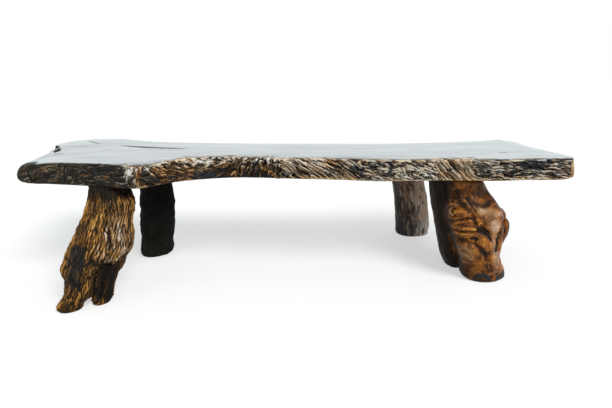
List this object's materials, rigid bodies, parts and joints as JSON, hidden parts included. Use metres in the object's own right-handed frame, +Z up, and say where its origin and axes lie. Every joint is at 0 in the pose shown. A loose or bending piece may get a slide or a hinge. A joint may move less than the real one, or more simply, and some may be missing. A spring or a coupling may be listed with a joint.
{
  "type": "rustic log bench",
  "caption": "long live-edge slab seat on natural limb legs with blind wedged tenons: a forked root, a burl and plain logs, feet cut level",
  "frame": {"origin": "middle of the bench's bounding box, on the floor its feet stand on", "axes": "+X along the seat towards its square-cut end, +Y to the back, +Z up"},
  "size_m": [2.0207, 0.7789, 0.458],
  "materials": {
    "slab_wood": "dark stained hardwood, lacquered top, rough hewn live edge",
    "root_wood": "deeply furrowed root wood, golden brown, satin lacquer",
    "charred_wood": "near-black rough log, satin",
    "burl_wood": "glossy orange-brown burl, lacquered",
    "weathered_wood": "weathered grey-brown log, matt",
    "wedge_wood": "plain split hardwood, raw"
  },
  "bodies": {
    "root": {"seat_slab": "slab_wood", "leg_front_left": "root_wood", "leg_back_left": "charred_wood", "leg_front_right": "burl_wood", "leg_back_right": "weathered_wood", "wedge_front_left": "wedge_wood", "wedge_back_left": "wedge_wood", "wedge_front_right": "wedge_wood", "wedge_back_right": "wedge_wood"}
  },
  "joints": []
}
